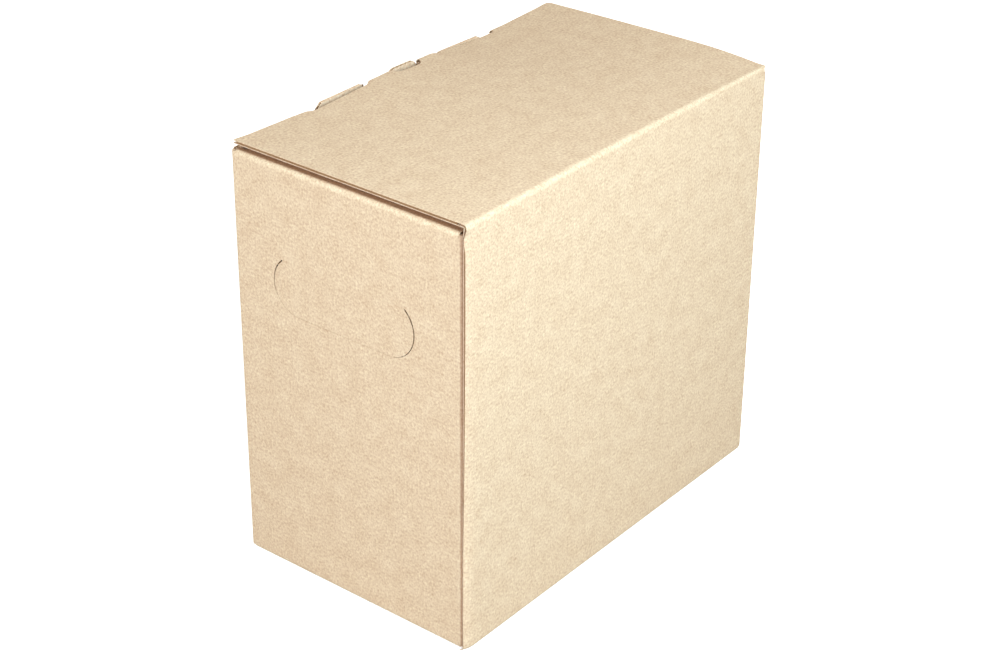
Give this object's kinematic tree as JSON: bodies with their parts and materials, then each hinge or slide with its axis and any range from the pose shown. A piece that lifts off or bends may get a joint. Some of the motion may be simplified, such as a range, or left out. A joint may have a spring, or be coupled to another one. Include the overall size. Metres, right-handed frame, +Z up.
{
  "type": "bag-in-box",
  "caption": "Corrugated carton with a hinged tuck lid, folding hand-hole flaps and an inner sealed film bag whose push tap waits behind a tear-out door.",
  "frame": {"origin": "middle of the carton's underside", "axes": "+Z up, +Y along the carton's length towards the end with the tap door, +X towards the wall that carries the lid"},
  "size_m": [0.162, 0.272, 0.26],
  "materials": {
    "board": "matte kraft liner",
    "film": "crinkled metallised film",
    "clear_plastic": "natural polyethylene",
    "tap_plastic": "moulded black polypropylene",
    "button_plastic": "moulded red polypropylene",
    "seal_rubber": "soft grey elastomer"
  },
  "bodies": {
    "carton": {"carton": "board", "bag": "film", "spout_gland": "clear_plastic", "tap_body": "tap_plastic", "return_sleeve": "seal_rubber"},
    "lid": {"lid": "board"},
    "front_hand_hole_flap": {"front_hand_hole_flap": "board"},
    "back_hand_hole_flap": {"back_hand_hole_flap": "board"},
    "push_button": {"push_button": "button_plastic", "valve_stem": "tap_plastic", "valve_washer": "seal_rubber"}
  },
  "joints": [
    {"name": "lid_hinge", "type": "hinge", "parent": "carton", "child": "lid", "pos_m": [0.081, 0, 0.26], "axis": [0, 1, 0], "range_deg": [0, 240]},
    {"name": "front_flap_hinge", "type": "hinge", "parent": "carton", "child": "front_hand_hole_flap", "pos_m": [-0.003, -0.134, 0.1994], "axis": [1, 0, 0], "range_deg": [0, 75]},
    {"name": "back_flap_hinge", "type": "hinge", "parent": "carton", "child": "back_hand_hole_flap", "pos_m": [-0.003, 0.134, 0.1994], "axis": [-1, 0, 0], "range_deg": [0, 75]},
    {"name": "button_press", "type": "slide", "parent": "carton", "child": "push_button", "axis": [0, -1, 0], "range_m": [0, 0.0045], "stiffness_N_per_m": 1200, "springref_m": -0.002, "deforming": ["return_sleeve"]}
  ]
}
